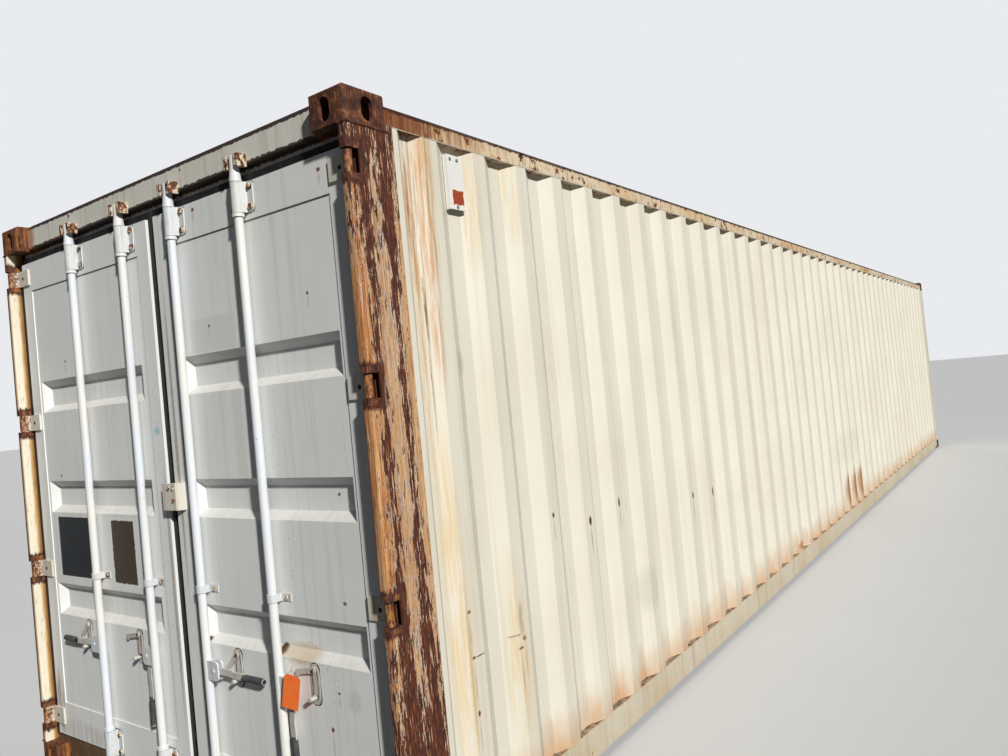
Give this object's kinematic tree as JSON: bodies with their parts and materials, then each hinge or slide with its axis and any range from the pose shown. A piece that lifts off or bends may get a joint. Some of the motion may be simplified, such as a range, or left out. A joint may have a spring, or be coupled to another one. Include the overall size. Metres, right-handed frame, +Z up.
{
  "type": "dry freight container",
  "caption": "Long dry freight container with corrugated walls and roof, two hinged end doors, lock bars with folding handles, corner castings and a plywood floor.",
  "frame": {"origin": "bottom centre of the container, on the plane of the lower corner casting faces", "axes": "+X along the length toward the blank front end (the doors are at -X), +Y to the left of someone who faces the doors, +Z up"},
  "size_m": [12.192, 2.438, 2.591],
  "materials": {
    "door_paint": "matte",
    "floor_ply": "matte",
    "frame_paint": "matte",
    "gear_paint": "matte",
    "rusted_steel": "matte",
    "seal_rubber": "matte",
    "wall_paint": "matte"
  },
  "bodies": {
    "container": {"corner_castings_top": "frame_paint", "corner_castings_bottom": "frame_paint", "rear_posts": "frame_paint", "front_posts": "wall_paint", "door_header": "frame_paint", "door_sill": "frame_paint", "cam_keepers": "rusted_steel", "hinge_pins": "rusted_steel", "front_top_rail": "wall_paint", "front_bottom_rail": "wall_paint", "front_wall": "wall_paint", "side_walls": "wall_paint", "top_side_rails": "wall_paint", "bottom_side_rails": "wall_paint", "roof": "wall_paint", "roof_plates": "wall_paint", "floor_boards": "floor_ply", "cross_members": "wall_paint", "gooseneck_tunnel": "wall_paint", "vents": "gear_paint"},
    "door_left": {"left_frame": "door_paint", "left_panel": "door_paint", "left_gasket": "seal_rubber", "left_hinge_blades": "gear_paint", "left_brackets": "gear_paint", "left_catches": "gear_paint"},
    "door_right": {"right_frame": "door_paint", "right_panel": "door_paint", "right_gasket": "seal_rubber", "right_hinge_blades": "gear_paint", "right_brackets": "gear_paint", "right_catches": "gear_paint", "centre_catch": "gear_paint"},
    "lock_bar_1": {"lock_bar_1": "gear_paint"},
    "handle_1": {"handle_1": "gear_paint"},
    "hasp_1": {"hasp_1": "gear_paint"},
    "lock_bar_2": {"lock_bar_2": "gear_paint"},
    "handle_2": {"handle_2": "gear_paint"},
    "hasp_2": {"hasp_2": "gear_paint"},
    "lock_bar_3": {"lock_bar_3": "gear_paint"},
    "handle_3": {"handle_3": "gear_paint"},
    "hasp_3": {"hasp_3": "gear_paint"},
    "lock_bar_4": {"lock_bar_4": "gear_paint"},
    "handle_4": {"handle_4": "gear_paint"},
    "hasp_4": {"hasp_4": "gear_paint"}
  },
  "joints": [
    {"name": "door_left_hinge", "type": "hinge", "parent": "container", "child": "door_left", "pos_m": [-6.074, 1.195, 1.2955], "axis": [0, 0, -1], "range_deg": [0, 262.5]},
    {"name": "door_right_hinge", "type": "hinge", "parent": "container", "child": "door_right", "pos_m": [-6.074, -1.195, 1.2955], "axis": [0, 0, 1], "range_deg": [0, 262.5]},
    {"name": "lock_bar_1_turn", "type": "hinge", "parent": "door_left", "child": "lock_bar_1", "pos_m": [-6.066, 0.615, 1.2955], "axis": [0, 0, -1], "range_deg": [-100, 0]},
    {"name": "lock_bar_2_turn", "type": "hinge", "parent": "door_left", "child": "lock_bar_2", "pos_m": [-6.066, 0.185, 1.2955], "axis": [0, 0, -1], "range_deg": [-100, 0]},
    {"name": "lock_bar_3_turn", "type": "hinge", "parent": "door_right", "child": "lock_bar_3", "pos_m": [-6.066, -0.185, 1.2955], "axis": [0, 0, 1], "range_deg": [-100, 0]},
    {"name": "lock_bar_4_turn", "type": "hinge", "parent": "door_right", "child": "lock_bar_4", "pos_m": [-6.066, -0.615, 1.2955], "axis": [0, 0, 1], "range_deg": [-100, 0]},
    {"name": "handle_1_lift", "type": "hinge", "parent": "lock_bar_1", "child": "handle_1", "pos_m": [-6.066, 0.665, 0.64], "axis": [1, 0, 0], "range_deg": [0, 35]},
    {"name": "handle_2_lift", "type": "hinge", "parent": "lock_bar_2", "child": "handle_2", "pos_m": [-6.066, 0.235, 0.64], "axis": [1, 0, 0], "range_deg": [0, 60]},
    {"name": "handle_3_lift", "type": "hinge", "parent": "lock_bar_3", "child": "handle_3", "pos_m": [-6.066, -0.235, 0.64], "axis": [-1, 0, 0], "range_deg": [0, 35]},
    {"name": "handle_4_lift", "type": "hinge", "parent": "lock_bar_4", "child": "handle_4", "pos_m": [-6.066, -0.665, 0.64], "axis": [-1, 0, 0], "range_deg": [0, 60]},
    {"name": "hasp_1_swing", "type": "hinge", "parent": "door_left", "child": "hasp_1", "pos_m": [-6.0475, 0.775, 0.705], "axis": [-1, 0, 0], "range_deg": [-35, 15]},
    {"name": "hasp_2_swing", "type": "hinge", "parent": "door_left", "child": "hasp_2", "pos_m": [-6.0475, 0.345, 0.705], "axis": [-1, 0, 0], "range_deg": [0, 50]},
    {"name": "hasp_3_swing", "type": "hinge", "parent": "door_right", "child": "hasp_3", "pos_m": [-6.0475, -0.345, 0.705], "axis": [-1, 0, 0], "range_deg": [-35, 15]},
    {"name": "hasp_4_swing", "type": "hinge", "parent": "door_right", "child": "hasp_4", "pos_m": [-6.0475, -0.775, 0.705], "axis": [-1, 0, 0], "range_deg": [0, 50]}
  ]
}
